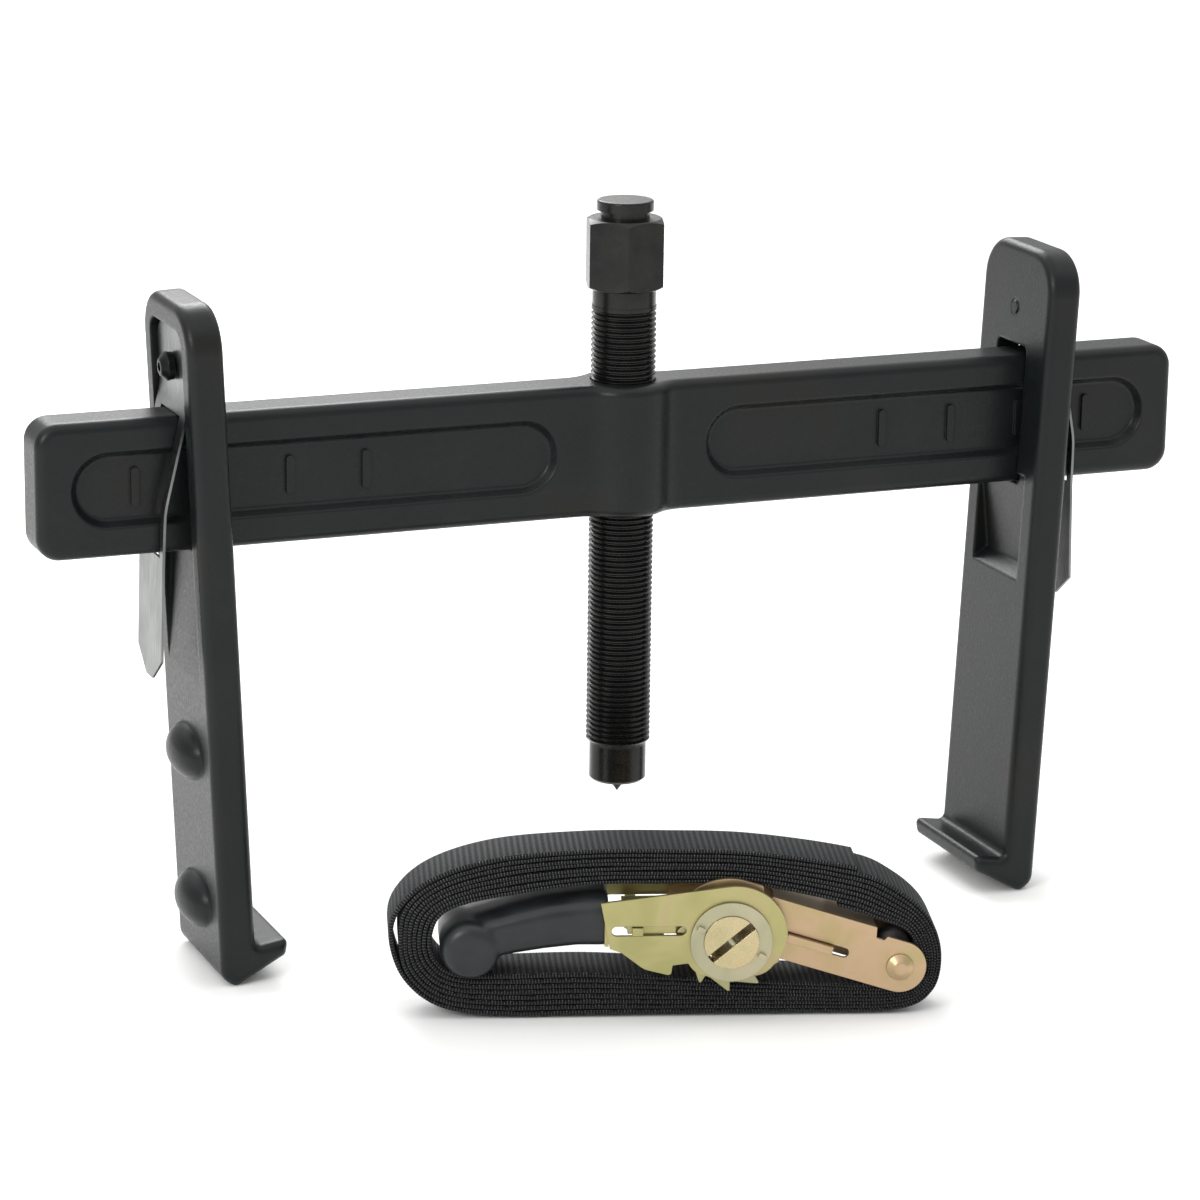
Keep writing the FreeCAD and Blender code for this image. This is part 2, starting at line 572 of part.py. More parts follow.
def two_cheeks(body, corners, inner):
    """Two like plates, one on each side of the strap."""
    for side in (1, -1):
        sketch = outline(new_sketch(body, "XZ_Plane", f"{side} * {inner}"), corners)
        pad(body, sketch, "sheet_thick", Reversed=side < 0)


def make_base_frame():
    """Ratchet frame, modelled about its end rivet with its top edge level."""
    body = new_body("base_frame")
    hub_x, hub_z = "hub_along", "hub_drop"
    top = "base_rise"
    corners = [("base_end", "-base_end", "base_end - 0.1"), ("base_end", "base_end", "base_end - 0.1"),
               ("-8", "base_end"), ("-9", f"{top} - 4"), ("-12.2", f"{top} - 4"),
               ("-13.3", top), ("-54.5", top), ("-56", f"{top} - 1.8"), ("-58", f"{top} - 1.2"),
               ("-59.6", f"{hub_z} + base_arc"),
               (f"{hub_x} - base_arc", f"{hub_z} + base_arc", "base_arc - 1.2"),
               (f"{hub_x} - base_arc", f"{hub_z} - 1", "5"),
               (f"{hub_x} - 13", f"{hub_z} - 13.5", "9"), (f"{hub_x} + 10", f"{hub_z} - 13.5", "9"),
               ("-48", "-base_end", "6")]
    pad(body, outline(new_sketch(body, "XZ_Plane"), corners), "2 * base_outer", both=True)
    roof = f"{top} - sheet_thick"
    inside = [("-110", "-40"), ("30", "-40"), ("30", "30"), ("-13.5", "30"), ("-13.5", roof),
              ("-54.3", roof), ("-54.3", "30"), ("-110", "30")]
    pocket(body, outline(new_sketch(body, "XZ_Plane"), inside), "2 * base_inner", both=True)
    seat = [("-seat_back", "lock_level - 4"), ("-seat_back + sheet_thick", "lock_level - 4"),
            ("-seat_back + sheet_thick", f"{top} - 0.5"), ("-seat_back", f"{top} - 0.5")]
    pad(body, outline(new_sketch(body, "XZ_Plane"), seat), "12", both=True)
    holes = circle(new_sketch(body, "XZ_Plane"), hub_x, hub_z, "hub_radius + hub_play")
    circle(holes, "0", "0", "rivet_radius + 0.05")
    lift = "pawl_thick / 2 + pawl_play"
    racetrack(holes, ("lock_nose - 1 + pawl_thick / 2", "lock_level"),
              ("lock_nose + pawl_length + pawl_travel + 1", "lock_level"), lift)
    pocket(body, holes, "60", both=True)
    place_in_strap(body, "rivet_x", "rivet_z", "base_turn")


def make_end_rivet():
    """Domed rivet with its spacer sleeve, on which the strap's fixed end is looped."""
    body = new_body("end_rivet")
    sketch = new_sketch(body, "XY_Plane")
    reach = "(base_outer + 0.05)"
    outline(sketch, [("0", f"-{reach} - rivet_rise"),
                     ("rivet_dome * 0.45", f"-{reach} - rivet_rise", "1.6"),
                     ("rivet_dome", f"-{reach} - 0.6", "0.4"), ("rivet_dome", f"-{reach}"),
                     ("rivet_radius", f"-{reach}"), ("rivet_radius", reach),
                     ("rivet_dome", reach), ("rivet_dome", f"{reach} + 0.6", "0.4"),
                     ("rivet_dome * 0.45", f"{reach} + rivet_rise", "1.6"),
                     ("0", f"{reach} + rivet_rise")])
    turned(body, sketch)
    place_in_strap(body, "rivet_x", "rivet_z")
    ring_between("rivet_sleeve", "rivet_radius + 0.1", "sleeve_radius", "2 * base_inner - 0.4")
    ring_between("anchor_loop", "sleeve_radius + 0.3", "sleeve_radius + 0.3 + loop_thick",
                 "web_width")


def ring_between(label, inner, outer, length):
    """Ring about the end rivet, centred across the strap."""
    body = new_body(label)
    sketch = circle(new_sketch(body, "XZ_Plane"), "0", "0", outer)
    circle(sketch, "0", "0", inner)
    pad(body, sketch, length, both=True)
    place_in_strap(body, "rivet_x", "rivet_z")


def make_hub_halves():
    """Slotted spindle: two half-round bars with the strap's slot between them."""
    for name, side in (("upper", 1), ("lower", -1)):
        body = new_body(f"{name}_spindle_half")
        sketch = new_sketch(body, "XZ_Plane")
        low, radius = number("hub_slot / 2"), number("hub_radius")
        reach = math.sqrt(radius ** 2 - low ** 2)
        ends = [Vector(reach, side * low, 0), Vector(-reach, side * low, 0)]
        arc = arc_from(Vector(0, 0, 0), *(ends if side > 0 else ends[::-1]))
        sketch.addGeometry(arc, False)
        sketch.addGeometry(Part.LineSegment(*ends), False)
        first, last = (1, 2) if side > 0 else (2, 1)
        sketch.addConstraint(Sketcher.Constraint("Coincident", 0, first, 1, 1))
        sketch.addConstraint(Sketcher.Constraint("Coincident", 0, last, 1, 2))
        sketch.addConstraint(Sketcher.Constraint("Coincident", 0, 3, -1, 1))
        sketch.addConstraint(Sketcher.Constraint("Horizontal", 1))
        set_radius(sketch, 0, "hub_radius")
        gap = sketch.addConstraint(Sketcher.Constraint("DistanceY", -1, 1, 1, 1, side * low))
        sketch.setExpression(f"Constraints[{gap}]", tied(f"{side} * hub_slot / 2"))
        pad(body, sketch, "hub_half * 2", both=True)
        bore = new_sketch(body, "XY_Plane")
        for end in (-1, 1):
            circle(bore, "0", f"{end} * pin_level", "pin_radius + 0.05")
        pocket(body, bore, "hub_radius * 2 + 2", both=True)
        place_in_strap(body, "hub_x", "hub_z", "-hub_tilt")


def make_split_pin(name, end):
    """Pin through both spindle halves near one end."""
    body = new_body(f"{name}_split_pin")
    sketch = circle(new_sketch(body, "XY_Plane"), "0", f"{end} * pin_level", "pin_radius")
    pad(body, sketch, "hub_radius * 2 - 2.5", both=True)
    place_in_strap(body, "hub_x", "hub_z", "-hub_tilt")


def make_ratchet_wheel(name, end):
    """Ratchet wheel keyed on the spindle, between base plate and handle plate."""
    body = new_body(f"{name}_ratchet_wheel")
    offset = f"-{end} * wheel_inner"
    disc = circle(new_sketch(body, "XZ_Plane", offset), "0", "0", "wheel_root")
    pad(body, disc, "wheel_thick", Reversed=end > 0)
    pitch = 2 * math.pi / number("wheel_teeth")
    polar = [("wheel_root - 0.4", 0), ("wheel_tip", 0.93), ("wheel_tip", 1),
             ("wheel_root - 2", 1), ("wheel_root - 5", 0.5)]
    ramp = [(f"({size}) * {math.cos(part * pitch):.6f}", f"({size}) * {math.sin(part * pitch):.6f}")
            for size, part in polar]
    tooth = outline(new_sketch(body, "XZ_Plane", offset), ramp)
    one = pad(body, tooth, "wheel_thick", Reversed=end > 0)
    ring = body.newObject("PartDesign::PolarPattern", f"{body.Name}_teeth")
    ring.Originals = [one]
    ring.Axis = (tooth, ["N_Axis"])
    ring.Angle = 360.0
    ring.setExpression("Occurrences", tied("wheel_teeth"))
    body.Tip = ring
    doc.recompute()
    bore = circle(new_sketch(body, "XZ_Plane"), "0", "0", "hub_radius + 0.05")
    pocket(body, bore, "60", both=True)
    place_in_strap(body, "hub_x", "hub_z", "-wheel_turn")


def make_ring_washer(name, end):
    """Washer on the spindle's end, with two bent tabs."""
    body = new_body(f"{name}_ring_washer")
    offset = f"-{end} * (cheek_inner + sheet_thick + ring_gap)"
    sketch = circle(new_sketch(body, "XZ_Plane", offset), "0", "0", "ring_outer")
    circle(sketch, "0", "0", "hub_radius + 0.05")
    pad(body, sketch, "ring_thick", Reversed=end > 0)
    tabs = new_sketch(body, "XZ_Plane", offset)
    for side in (-1, 1):
        outline(tabs, [(f"{side} * (ring_outer - 4.2)", "-1.1", "0.5"),
                       (f"{side} * (ring_outer - 1.2)", "-1.1", "0.5"),
                       (f"{side} * (ring_outer - 1.2)", "1.1", "0.5"),
                       (f"{side} * (ring_outer - 4.2)", "1.1", "0.5")])
    pad(body, tabs, "ring_thick + tab_rise", Reversed=end > 0)
    place_in_strap(body, "hub_x", "hub_z", "25")


def make_handle_frame():
    """Handle of the ratchet, modelled about the spindle's axis, open and level."""
    body = new_body("handle_frame")
    corners = [("-45.4", "-2.6"), ("-41", "-4.2"), ("-32.5", "-10.8", "8"), ("-22.4", "-13.4", "1.2"),
               ("-21.8", "-9.4"), ("-16", "-8.6"), ("-12.5", "-13.8", "9"), ("12.5", "-13.8", "9"),
               ("19.2", "-6", "4"), ("cheek_arc", "1", "4"),
               ("cheek_arc", "cheek_arc * 1.131", "cheek_arc - 1.6"), ("-48.9", "15.2")]
    two_cheeks(body, corners, "cheek_inner")
    web = [("-47.3", "-2"), ("-45.8", "-2"), ("-45.8", "9"), ("-47.3", "9")]
    pad(body, outline(new_sketch(body, "XZ_Plane"), web), "2 * cheek_inner + 1", both=True)
    for side in (1, -1):
        tang = outline(new_sketch(body, "XZ_Plane", f"{side} * (cheek_inner - 4.4)"),
                       [("-74", "0"), ("-45.8", "0"), ("-45.8", "7"), ("-74", "7")])
        pad(body, tang, "sheet_thick", Reversed=side < 0)
    holes = circle(new_sketch(body, "XZ_Plane"), "0", "0", "hub_radius + hub_play")
    racetrack(holes, ("-drive_nose - pawl_length - pawl_travel - 0.2", "drive_level"),
              ("-drive_nose + 2", "drive_level"), "pawl_thick / 2 + pawl_play")
    pocket(body, holes, "60", both=True)
    place_in_strap(body, "hub_x", "hub_z")


def make_handle_grip():
    """Moulded grip with its round cross knob."""
    body = new_body("handle_grip")
    knob_x, knob_z = "(knob_x - hub_x)", "(knob_z - hub_z)"
    corners = [(f"{knob_x}", f"{knob_z} - knob_radius"), (f"{knob_x} + 8", f"{knob_z} - 8", "5"),
               (f"{knob_x} + 20", f"{knob_z} - 3.2", "18"), ("-45.9", "-2.6"), ("-49.2", "16.6", "1.5"),
               ("-56", "17.2", "12"), (f"{knob_x} - 3", f"{knob_z} + 11.6", "24"),
               (f"{knob_x} - knob_radius", f"{knob_z} + 2", "8"),
               (f"{knob_x} - knob_radius", f"{knob_z} - 4.5", "5")]
    pad(body, outline(new_sketch(body, "XZ_Plane"), corners), "2 * grip_half", both=True)
    knob = new_sketch(body, "XY_Plane", knob_z)
    outline(knob, [(knob_x, "-knob_half"), (f"{knob_x} + knob_radius * 0.75", "-knob_half + 1", "5"),
                   (f"{knob_x} + knob_radius", "-knob_half + 7", "5"),
                   (f"{knob_x} + knob_radius", "knob_half - 7", "5"),
                   (f"{knob_x} + knob_radius * 0.75", "knob_half - 1", "5"), (knob_x, "knob_half")])
    axis = knob.addGeometry(Part.LineSegment(Vector(number(knob_x), -5, 0),
                                             Vector(number(knob_x), 5, 0)), True)
    pin_point(knob, axis, 1, knob_x, "-5")
    pin_point(knob, axis, 2, knob_x, "5")
    turned(body, knob, axis="Axis0")
    place_in_strap(body, "hub_x", "hub_z")


def make_drive_pawl():
    """Pawl in the handle: two noses reach past the frame to the wheels."""
    body = new_body("drive_pawl")
    near_x, far_x = "-drive_nose", "(-drive_nose - pawl_length)"
    waist = "(-drive_nose - pawl_waist)"
    nose_in, nose_out = "wheel_inner", "(cheek_inner - 0.3)"
    ear = "(cheek_inner + sheet_thick + 1)"
    side = [(waist, nose_in), (near_x, nose_in), (near_x, nose_out), (waist, nose_out),
            (waist, ear), (f"{far_x} + 1.6", ear), (f"{far_x} + 1.6", nose_out), (far_x, nose_out)]
    other = [(x, f"-{y}") for x, y in reversed(side)]
    sketch = outline(new_sketch(body, "XY_Plane", "drive_level - pawl_thick / 2"), side + other)
    pad(body, sketch, "pawl_thick")
    place_in_strap(body, "hub_x", "hub_z")


def make_lock_pawl():
    """Pawl in the base frame, reaching the wheels outside the frame's plates."""
    body = new_body("lock_pawl")
    wide = "(cheek_inner - 0.4)"
    corners = [("lock_nose", f"-{wide}"), ("lock_nose + pawl_length", f"-{wide}"),
               ("lock_nose + pawl_length", wide), ("lock_nose", wide)]
    sketch = outline(new_sketch(body, "XY_Plane", "lock_level - pawl_thick / 2"), corners)
    pad(body, sketch, "pawl_thick")
    place_in_strap(body, "rivet_x", "rivet_z", "base_turn")


def make_pawl_spring(name, start, stop, level, home, turn="0"):
    """Compression spring between a pawl's tail and its seat."""
    body = new_body(name)
    sketch = new_sketch(body, "XZ_Plane")
    circle(sketch, f"{start} + spring_wire + 0.15", f"{level} + spring_radius", "spring_wire")
    axis = sketch.addGeometry(Part.LineSegment(Vector(number(start), number(level), 0),
                                               Vector(number(stop), number(level), 0)), True)
    pin_point(sketch, axis, 1, start, level)
    pin_point(sketch, axis, 2, stop, level)
    length = f"({stop} - ({start}) - 2 * spring_wire - 0.3)"
    feature(body, "AdditiveHelix", sketch, ReferenceAxis=(sketch, ["Axis0"]), Mode="pitch-height-angle",
            Pitch=f"{length} / spring_turns", Height=length)
    place_in_strap(body, *home, turn)


def place(body, x, y, z, rotation=Rotation()):
    """Place a body at a position given as expressions."""
    body.Placement = Placement(Vector(number(x), number(y), number(z)), rotation)
    for axis, text in (("x", x), ("y", y), ("z", z)):
        body.setExpression(f".Placement.Base.{axis}", tied(text))


make_cross_bar()
make_forcing_screw()
make_screw_point()
make_jaw()
make_spring_plate()
make_plate_screw()
make_lock_washer()
make_left_side()
make_strap_webbing()
make_base_frame()
make_end_rivet()
make_hub_halves()
for side_name, side_sign in (("front", -1), ("rear", 1)):
    make_ratchet_wheel(side_name, side_sign)
    make_ring_washer(side_name, side_sign)
    make_split_pin(side_name, side_sign)
make_handle_frame()
make_handle_grip()
make_drive_pawl()
make_lock_pawl()
make_pawl_spring("drive_pawl_spring", "-45.8", "-drive_nose - pawl_length", "drive_level",
                 ("hub_x", "hub_z"))
make_pawl_spring("lock_pawl_spring", "lock_nose + pawl_length", "-seat_back", "lock_level",
                 ("rivet_x", "rivet_z"), "base_turn")

doc.recompute()
for item in doc.Objects:
    if any(word in item.State for word in ("Invalid", "Error")):
        raise RuntimeError(f"{item.Name} failed: {item.State}")
os.makedirs("parts", exist_ok=True)
for node in NODES:
    if node.Shape.isNull() or not node.Shape.isValid():
        raise RuntimeError(f"{node.Label} is not a valid solid")
    node.Shape.exportStep(f"parts/{node.Label}.step")
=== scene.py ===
"""Brake drum puller with its ratchet strap: finishes, and the pieces that model.glb leaves plain.

+X runs along the cross bar, +Y to the rear, +Z up, in metres; the floor is z = 0.
"""
import bpy
import math
from mathutils import Matrix, Vector


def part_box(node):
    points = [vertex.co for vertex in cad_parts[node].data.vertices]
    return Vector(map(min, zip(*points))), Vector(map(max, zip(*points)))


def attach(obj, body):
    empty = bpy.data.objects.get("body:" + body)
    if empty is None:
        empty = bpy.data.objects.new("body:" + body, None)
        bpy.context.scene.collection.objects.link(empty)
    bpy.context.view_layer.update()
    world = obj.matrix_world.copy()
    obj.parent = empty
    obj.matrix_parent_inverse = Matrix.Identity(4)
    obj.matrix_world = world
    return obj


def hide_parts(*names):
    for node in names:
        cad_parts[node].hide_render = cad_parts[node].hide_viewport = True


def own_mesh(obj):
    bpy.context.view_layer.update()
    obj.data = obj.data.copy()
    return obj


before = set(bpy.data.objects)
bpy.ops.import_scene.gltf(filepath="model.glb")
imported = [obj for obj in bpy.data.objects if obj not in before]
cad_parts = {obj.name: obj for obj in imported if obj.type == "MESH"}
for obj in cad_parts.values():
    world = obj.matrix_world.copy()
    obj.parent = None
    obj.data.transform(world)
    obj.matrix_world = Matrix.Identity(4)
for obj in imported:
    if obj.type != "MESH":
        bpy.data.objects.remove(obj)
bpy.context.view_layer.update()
MM = 0.001
SCREW_Y = sum(corner.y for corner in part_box("forcing_screw")) / 2
COIL_LOW, COIL_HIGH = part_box("strap_webbing")
COIL_MIDDLE = (COIL_LOW + COIL_HIGH) / 2
COIL_TURN = math.radians(-17.9)
# the coil's own frame: its long way is X, its floor z = 0
COIL = Matrix.Translation((COIL_MIDDLE.x, COIL_MIDDLE.y, 0)) @ Matrix.Rotation(COIL_TURN, 4, "Z")


# ------------------------------------------------------------------ finishes
NOISE_SPAN = {"From Min": 0.3, "From Max": 0.7}  # where nearly all of a noise's values lie
PEBBLE_SPAN = {"From Min": 0.35, "From Max": 0.7}


def linear(hex_colour):
    """sRGB hex to linear RGBA."""
    channels = [int(hex_colour[i:i + 2], 16) / 255 for i in (1, 3, 5)]
    return [c / 12.92 if c <= 0.04045 else ((c + 0.055) / 1.055) ** 2.4 for c in channels] + [1]


def new_finish(name, **sockets):
    """Material whose Principled sockets are set by name."""
    made = bpy.data.materials.new(name)
    made.use_nodes = True
    shader = made.node_tree.nodes["Principled BSDF"]
    for socket, amount in sockets.items():
        shader.inputs[socket.replace("_", " ")].default_value = amount
    return made


def add(finish, kind, sockets=(), links=(), to=(), stops=(), **settings):
    """Add a node: its settings, socket values, links in, links out to the shader, ramp stops."""
    tree = finish.node_tree
    made = tree.nodes.new(kind)
    for name, setting in settings.items():
        setattr(made, name, setting)
    for socket, amount in dict(sockets).items():
        made.inputs[socket].default_value = amount
    for socket, source in dict(links).items():
        tree.links.new(source, made.inputs[socket])
    for output, socket in dict(to).items():
        tree.links.new(made.outputs[output], tree.nodes["Principled BSDF"].inputs[socket])
    for i, (place, colour) in enumerate(stops):
        element = made.color_ramp.elements[i] if i < 2 else made.color_ramp.elements.new(place)
        element.position = place
        element.color = linear(colour)
    return made


def forging(name, depth_mm, corner_mm):
    """Drop-forged steel under satin black enamel: pebbled scale shows through as small glints."""
    made = new_finish(name, IOR=1.45, Specular_IOR_Level=0.31)
    place = add(made, "ShaderNodeTexCoord").outputs["Object"]
    patch = add(made, "ShaderNodeTexNoise", {"Scale": 1 / (33 * MM), "Detail": 3},
                {"Vector": place})
    pebble = add(made, "ShaderNodeTexNoise",
                 {"Scale": 1 / (1.25 * MM), "Detail": 3, "Roughness": 0.6}, {"Vector": place})
    dimple = add(made, "ShaderNodeTexNoise", {"Scale": 1 / (0.6 * MM), "Detail": 1},
                 {"Vector": place})
    colour = add(made, "ShaderNodeValToRGB", links={"Fac": patch.outputs["Fac"]},
                 stops=[(0.30, "#0f1314"), (0.70, "#181715"), (0.52, "#121617")])
    specks = add(made, "ShaderNodeValToRGB", links={"Fac": pebble.outputs["Fac"]},
                 stops=[(0.62, "#000000"), (0.78, "#ffffff")])
    add(made, "ShaderNodeMix", {"B": linear("#1a1c1d")},
        {"Factor": specks.outputs["Color"], "A": colour.outputs["Color"]}, {"Result": "Base Color"},
        data_type="RGBA")
    add(made, "ShaderNodeMapRange", {**PEBBLE_SPAN, "To Min": 0.4, "To Max": 0.27},
        {"Value": pebble.outputs["Fac"]}, {"Result": "Roughness"})
    soft = add(made, "ShaderNodeBevel", {"Radius": corner_mm * MM}, samples=6)
    fine = add(made, "ShaderNodeBump", {"Strength": 0.3, "Distance": 0.1 * MM},
               {"Height": dimple.outputs["Fac"], "Normal": soft.outputs["Normal"]})
    add(made, "ShaderNodeBump", {"Strength": 0.3, "Distance": depth_mm * MM},
        {"Height": pebble.outputs["Fac"], "Normal": fine.outputs["Normal"]}, {"Normal": "Normal"})
    return made


def black_oxide(name, colours, rough):
    """Turned steel with hot black oxide: thin, oily and slightly brown."""
    made = new_finish(name, Metallic=0.8)
    place = add(made, "ShaderNodeTexCoord").outputs["Object"]
    patch = add(made, "ShaderNodeTexNoise", {"Scale": 1 / (9 * MM), "Detail": 3}, {"Vector": place})
    fine = add(made, "ShaderNodeTexNoise", {"Scale": 1 / (0.35 * MM), "Detail": 2},
               {"Vector": place})
    add(made, "ShaderNodeValToRGB", links={"Fac": patch.outputs["Fac"]}, to={"Color": "Base Color"},
        stops=[(0.3, colours[0]), (0.7, colours[1])])
    add(made, "ShaderNodeMapRange", {**NOISE_SPAN, "To Min": rough - 0.06, "To Max": rough + 0.08},
        {"Value": fine.outputs["Fac"]}, {"Result": "Roughness"})
    add(made, "ShaderNodeBump", {"Strength": 0.25, "Distance": 0.05 * MM},
        {"Height": fine.outputs["Fac"]}, {"Normal": "Normal"})
    return made


def zinc(name, colours, rough=0.36):
    """Stamped steel, zinc plated and dipped in yellow chromate: bands of olive, gold and rose."""
    made = new_finish(name, Metallic=0.9)
    place = add(made, "ShaderNodeTexCoord").outputs["Object"]
    drift = add(made, "ShaderNodeTexNoise",
                {"Scale": 1 / (22 * MM), "Detail": 2, "Distortion": 0.6}, {"Vector": place})
    fine = add(made, "ShaderNodeTexNoise", {"Scale": 1 / (0.5 * MM), "Detail": 3},
               {"Vector": place})
    add(made, "ShaderNodeValToRGB", links={"Fac": drift.outputs["Fac"]}, to={"Color": "Base Color"},
        stops=[(0.34, colours[0]), (0.68, colours[2]), (0.51, colours[1])])
    add(made, "ShaderNodeMapRange", {**NOISE_SPAN, "To Min": rough - 0.06, "To Max": rough + 0.1},
        {"Value": fine.outputs["Fac"]}, {"Result": "Roughness"})
    soft = add(made, "ShaderNodeBevel", {"Radius": 0.35 * MM}, samples=4)
    add(made, "ShaderNodeBump", {"Strength": 0.18, "Distance": 0.04 * MM},
        {"Height": fine.outputs["Fac"], "Normal": soft.outputs["Normal"]}, {"Normal": "Normal"})
    return made


def rolled_spring_steel():
    """Cold-rolled spring steel strip: grey, with faint rolling lines along its length."""
    made = new_finish("rolled spring steel", Metallic=1.0)
    place = add(made, "ShaderNodeTexCoord").outputs["Object"]
    stretch = add(made, "ShaderNodeMapping", {"Scale": (1, 1, 0.04)}, {"Vector": place})
    lines = add(made, "ShaderNodeTexNoise", {"Scale": 1 / (0.5 * MM), "Detail": 3},
                {"Vector": stretch.outputs["Vector"]})
    patch = add(made, "ShaderNodeTexNoise", {"Scale": 1 / (22 * MM), "Detail": 2},
                {"Vector": place})
    add(made, "ShaderNodeValToRGB", links={"Fac": patch.outputs["Fac"]}, to={"Color": "Base Color"},
        stops=[(0.3, "#646766"), (0.7, "#858786")])
    add(made, "ShaderNodeMapRange", {**NOISE_SPAN, "To Min": 0.26, "To Max": 0.42},
        {"Value": lines.outputs["Fac"]}, {"Result": "Roughness"})
    add(made, "ShaderNodeBump", {"Strength": 0.12, "Distance": 0.03 * MM},
        {"Height": lines.outputs["Fac"]}, {"Normal": "Normal"})
    return made


def dipped_vinyl():
    """Plastisol dip on the handle: soft, matte, with runs where the dip drained."""
    made = new_finish("dipped black vinyl", IOR=1.52, Specular_IOR_Level=0.4)
    place = add(made, "ShaderNodeTexCoord").outputs["Object"]
    skin = add(made, "ShaderNodeTexNoise", {"Scale": 1 / (0.7 * MM), "Detail": 2},
               {"Vector": place})
    flow = add(made, "ShaderNodeTexNoise", {"Scale": 1 / (12 * MM), "Detail": 2}, {"Vector": place})
    add(made, "ShaderNodeValToRGB", links={"Fac": flow.outputs["Fac"]}, to={"Color": "Base Color"},
        stops=[(0.3, "#181a1c"), (0.7, "#222527")])
    add(made, "ShaderNodeMapRange", {**NOISE_SPAN, "To Min": 0.3, "To Max": 0.42},
        {"Value": flow.outputs["Fac"]}, {"Result": "Roughness"})
    add(made, "ShaderNodeBump", {"Strength": 0.15, "Distance": 0.04 * MM},
        {"Height": skin.outputs["Fac"]}, {"Normal": "Normal"})
    return made


YARN_MM = 0.9  # from one warp yarn to the next
RIB_MM = 1.15  # from one weft rib to the next


def webbing(name, rib_mm, stops):
    """Polyester webbing: dull, ribbed across and slightly hairy; painted shade between its ribs and
    painted highlights on them.

    Its map "weave" runs along the strap (u) and across it (v), in millimetres.
    """
    made = new_finish(name, IOR=1.45, Specular_IOR_Level=0.22, Sheen_Weight=0.04,
                      Sheen_Roughness=0.5)
    place = add(made, "ShaderNodeUVMap", uv_map="weave").outputs["UV"]
    apart = add(made, "ShaderNodeSeparateXYZ", links={"Vector": place})
    waves = []
    for output, pitch in (("X", rib_mm), ("Y", YARN_MM)):
        phase = add(made, "ShaderNodeMath", {1: 2 * math.pi / pitch}, {0: apart.outputs[output]},
                    operation="MULTIPLY")
        wave = add(made, "ShaderNodeMath", links={0: phase.outputs[0]}, operation="SINE")
        waves.append(wave.outputs[0])
    fuzz = add(made, "ShaderNodeTexNoise", {"Scale": 1.3, "Detail": 3}, {"Vector": place})
    weave = add(made, "ShaderNodeMath", {1: 0.35}, {0: waves[1], 2: waves[0]},
                operation="MULTIPLY_ADD")
    level = add(made, "ShaderNodeMath", {1: 0.3}, {0: weave.outputs[0], 2: fuzz.outputs["Fac"]},
                operation="MULTIPLY_ADD")
    # colour follows the weave's height: painted shade where it is low, painted highlights where it
    # is high
    add(made, "ShaderNodeValToRGB", links={"Fac": level.outputs[0]}, to={"Color": "Base Color"},
        stops=stops)
    add(made, "ShaderNodeMapRange", {"To Min": 0.8, "To Max": 0.5}, {"Value": level.outputs[0]},
        {"Result": "Roughness"})
    add(made, "ShaderNodeBump", {"Strength": 0.9, "Distance": 0.3 * MM},
        {"Height": level.outputs[0]}, {"Normal": "Normal"})
    return made


forged_bar = forging("satin enamel on drop forging, cross bar", 0.2, 0.5)
forged_jaw = forging("satin enamel on drop forging, jaws", 0.2, 1.8)
oxide_screw = black_oxide("black oxide on rolled thread", ("#232424", "#2f2f2d"), 0.26)
oxide_small = black_oxide("black oxide on fasteners", ("#171819", "#222324"), 0.34)
FINISHES = {
    forged_bar: ["cross_bar"],
    forged_jaw: ["left_jaw", "right_jaw"],
    oxide_screw: ["forcing_screw"],
    oxide_small: ["left_plate_screw", "right_plate_screw", "left_lock_washer", "right_lock_washer",
                  "screw_point"],
    rolled_spring_steel(): ["left_spring_plate", "right_spring_plate", "drive_pawl_spring",
                            "lock_pawl_spring"],
    zinc("yellow zinc on stamped steel, handle", ["#a59f6c", "#afa875", "#b3a27c"]):
        ["handle_frame", "drive_pawl"],
    zinc("yellow zinc on stamped steel, base", ["#b39f76", "#bfa384", "#ada26f"]):
        ["base_frame", "lock_pawl", "end_rivet", "rivet_sleeve"],
    zinc("yellow zinc on ratchet wheels", ["#9a966a", "#a6a178", "#a09e7e"], 0.34):
        ["front_ratchet_wheel", "rear_ratchet_wheel"],
    zinc("pale zinc on washers", ["#a5a287", "#b1ad8f", "#b8b094"], 0.4):
        ["front_ring_washer", "rear_ring_washer", "front_split_pin", "rear_split_pin"],
    zinc("yellow zinc on machined spindle", ["#b5aa82", "#c2b48c", "#c6b18a"], 0.26):
        ["upper_spindle_half", "lower_spindle_half"],
}
for finish, names in FINISHES.items():
    for name in names:
        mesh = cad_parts[name].data
        mesh.materials.clear()
        mesh.materials.append(finish)


# ------------------------------------------------------------------ modelling helpers
def start_piece():
    """Deselect all, so that operators act on the new piece only."""
    bpy.ops.object.select_all(action="DESELECT")


def turn_faces_out():
    """In edit mode, point every face outwards; then leave edit mode."""
    bpy.ops.mesh.select_all(action="SELECT")
    bpy.ops.mesh.normals_make_consistent(inside=False)
    bpy.ops.object.mode_set(mode="OBJECT")


def keep_piece(piece, name, finish, place=None):
    """Name the piece, give it its finish, and put its place in its mesh."""
    bpy.context.view_layer.update()
    piece.data.transform((place or Matrix()) @ piece.matrix_world)
    piece.matrix_world = Matrix()
    piece.name = piece.data.name = name
    piece.data.materials.clear()
    piece.data.materials.append(finish)
    return piece


def finish_with(piece, kind, **settings):
    """Apply one modifier."""
    made = piece.modifiers.new(kind.lower(), kind)
    for key, setting in settings.items():
        setattr(made, key, setting)
    bpy.context.view_layer.objects.active = piece
    bpy.ops.object.modifier_apply(modifier=made.name)


